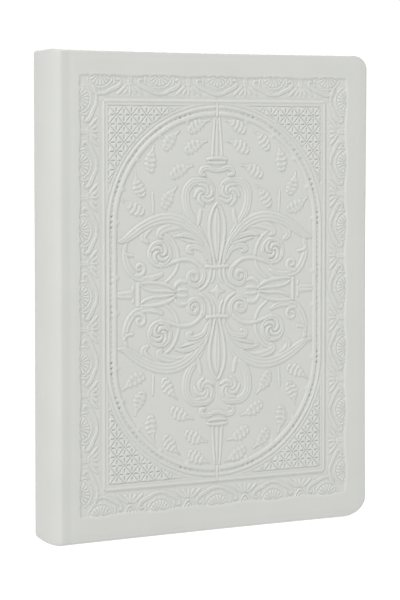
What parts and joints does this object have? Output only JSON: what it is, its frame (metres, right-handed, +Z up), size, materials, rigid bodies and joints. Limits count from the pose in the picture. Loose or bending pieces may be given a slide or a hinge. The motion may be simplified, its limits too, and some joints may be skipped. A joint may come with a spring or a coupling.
{
  "type": "prayer book",
  "caption": "Leather-bound hardback with an all-over ornamental embossed cover, a rounded plain spine and sewn pages; both covers and the outer leaves swing open.",
  "frame": {"origin": "on the table under the middle of the closed book, which stands on its tail edge", "axes": "+Z up the spine from tail to head, +X from the spine to the fore-edge, -Y out of the front cover"},
  "size_m": [0.1568, 0.0306, 0.216],
  "materials": {
    "cover_leather": "satin, fine grain, ornament embossed in the front and back covers",
    "grey_board": "raw binder's board",
    "end_paper": "smooth, matt",
    "page_paper": "thin, matt, slightly cream",
    "kraft_paper": "brown kraft, matt",
    "linen": "open-weave cotton and linen tape",
    "band_silk": "silk thread wound over a cord"
  },
  "bodies": {
    "text_block": {"spine_leather": "cover_leather", "spine_stiffener": "grey_board", "spine_lining": "kraft_paper", "spine_mull": "linen", "sewing_tape_1": "linen", "sewing_tape_2": "linen", "sewing_tape_3": "linen", "sewing_tape_4": "linen", "section_01": "page_paper", "section_02": "page_paper", "section_03": "page_paper", "section_04": "page_paper", "section_05": "page_paper", "section_06": "page_paper", "section_07": "page_paper", "section_08": "page_paper", "section_09": "page_paper", "section_10": "page_paper", "section_11": "page_paper", "section_12": "page_paper", "section_13": "page_paper", "head_band": "band_silk", "tail_band": "band_silk"},
    "front_cover": {"front_leather": "cover_leather", "front_board": "grey_board", "front_hinge_cloth": "linen", "front_infill_card": "kraft_paper", "front_pastedown": "end_paper"},
    "back_cover": {"back_leather": "cover_leather", "back_board": "grey_board", "back_hinge_cloth": "linen", "back_infill_card": "kraft_paper", "back_pastedown": "end_paper"},
    "front_flyleaf_body": {"front_flyleaf": "end_paper"},
    "front_leaf_1_body": {"front_leaf_1": "page_paper"},
    "front_leaf_2_body": {"front_leaf_2": "page_paper"},
    "front_leaf_3_body": {"front_leaf_3": "page_paper"},
    "front_leaf_4_body": {"front_leaf_4": "page_paper"},
    "back_flyleaf_body": {"back_flyleaf": "end_paper"},
    "back_leaf_1_body": {"back_leaf_1": "page_paper"},
    "back_leaf_2_body": {"back_leaf_2": "page_paper"}
  },
  "joints": [
    {"name": "front_cover_turn", "type": "hinge", "parent": "text_block", "child": "front_cover", "pos_m": [-0.0701, -0.01525, 0.108], "axis": [0, 0, -1], "range_deg": [0, 175]},
    {"name": "back_cover_turn", "type": "hinge", "parent": "text_block", "child": "back_cover", "pos_m": [-0.0701, 0.01525, 0.108], "axis": [0, 0, 1], "range_deg": [0, 175]},
    {"name": "front_flyleaf_turn", "type": "hinge", "parent": "text_block", "child": "front_flyleaf_body", "pos_m": [-0.0701, -0.01525, 0.108], "axis": [0, 0, -1], "range_deg": [0, 175]},
    {"name": "front_leaf_1_turn", "type": "hinge", "parent": "text_block", "child": "front_leaf_1_body", "pos_m": [-0.0701, -0.01525, 0.108], "axis": [0, 0, -1], "range_deg": [0, 175]},
    {"name": "front_leaf_2_turn", "type": "hinge", "parent": "text_block", "child": "front_leaf_2_body", "pos_m": [-0.0701, -0.01525, 0.108], "axis": [0, 0, -1], "range_deg": [0, 175]},
    {"name": "front_leaf_3_turn", "type": "hinge", "parent": "text_block", "child": "front_leaf_3_body", "pos_m": [-0.0701, -0.01525, 0.108], "axis": [0, 0, -1], "range_deg": [0, 175]},
    {"name": "front_leaf_4_turn", "type": "hinge", "parent": "text_block", "child": "front_leaf_4_body", "pos_m": [-0.0701, -0.01525, 0.108], "axis": [0, 0, -1], "range_deg": [0, 175]},
    {"name": "back_flyleaf_turn", "type": "hinge", "parent": "text_block", "child": "back_flyleaf_body", "pos_m": [-0.0701, 0.01525, 0.108], "axis": [0, 0, 1], "range_deg": [0, 175]},
    {"name": "back_leaf_1_turn", "type": "hinge", "parent": "text_block", "child": "back_leaf_1_body", "pos_m": [-0.0701, 0.01525, 0.108], "axis": [0, 0, 1], "range_deg": [0, 175]},
    {"name": "back_leaf_2_turn", "type": "hinge", "parent": "text_block", "child": "back_leaf_2_body", "pos_m": [-0.0701, 0.01525, 0.108], "axis": [0, 0, 1], "range_deg": [0, 175]}
  ],
  "couplings": [
    {"joint": "front_flyleaf_turn", "follows": "front_cover_turn", "ratio": 0.96},
    {"joint": "front_leaf_1_turn", "follows": "front_cover_turn", "ratio": 0.8},
    {"joint": "front_leaf_2_turn", "follows": "front_cover_turn", "ratio": 0.62},
    {"joint": "front_leaf_3_turn", "follows": "front_cover_turn", "ratio": 0.42},
    {"joint": "front_leaf_4_turn", "follows": "front_cover_turn", "ratio": 0.22},
    {"joint": "back_flyleaf_turn", "follows": "back_cover_turn", "ratio": 0.92},
    {"joint": "back_leaf_1_turn", "follows": "back_cover_turn", "ratio": 0.62},
    {"joint": "back_leaf_2_turn", "follows": "back_cover_turn", "ratio": 0.31}
  ]
}
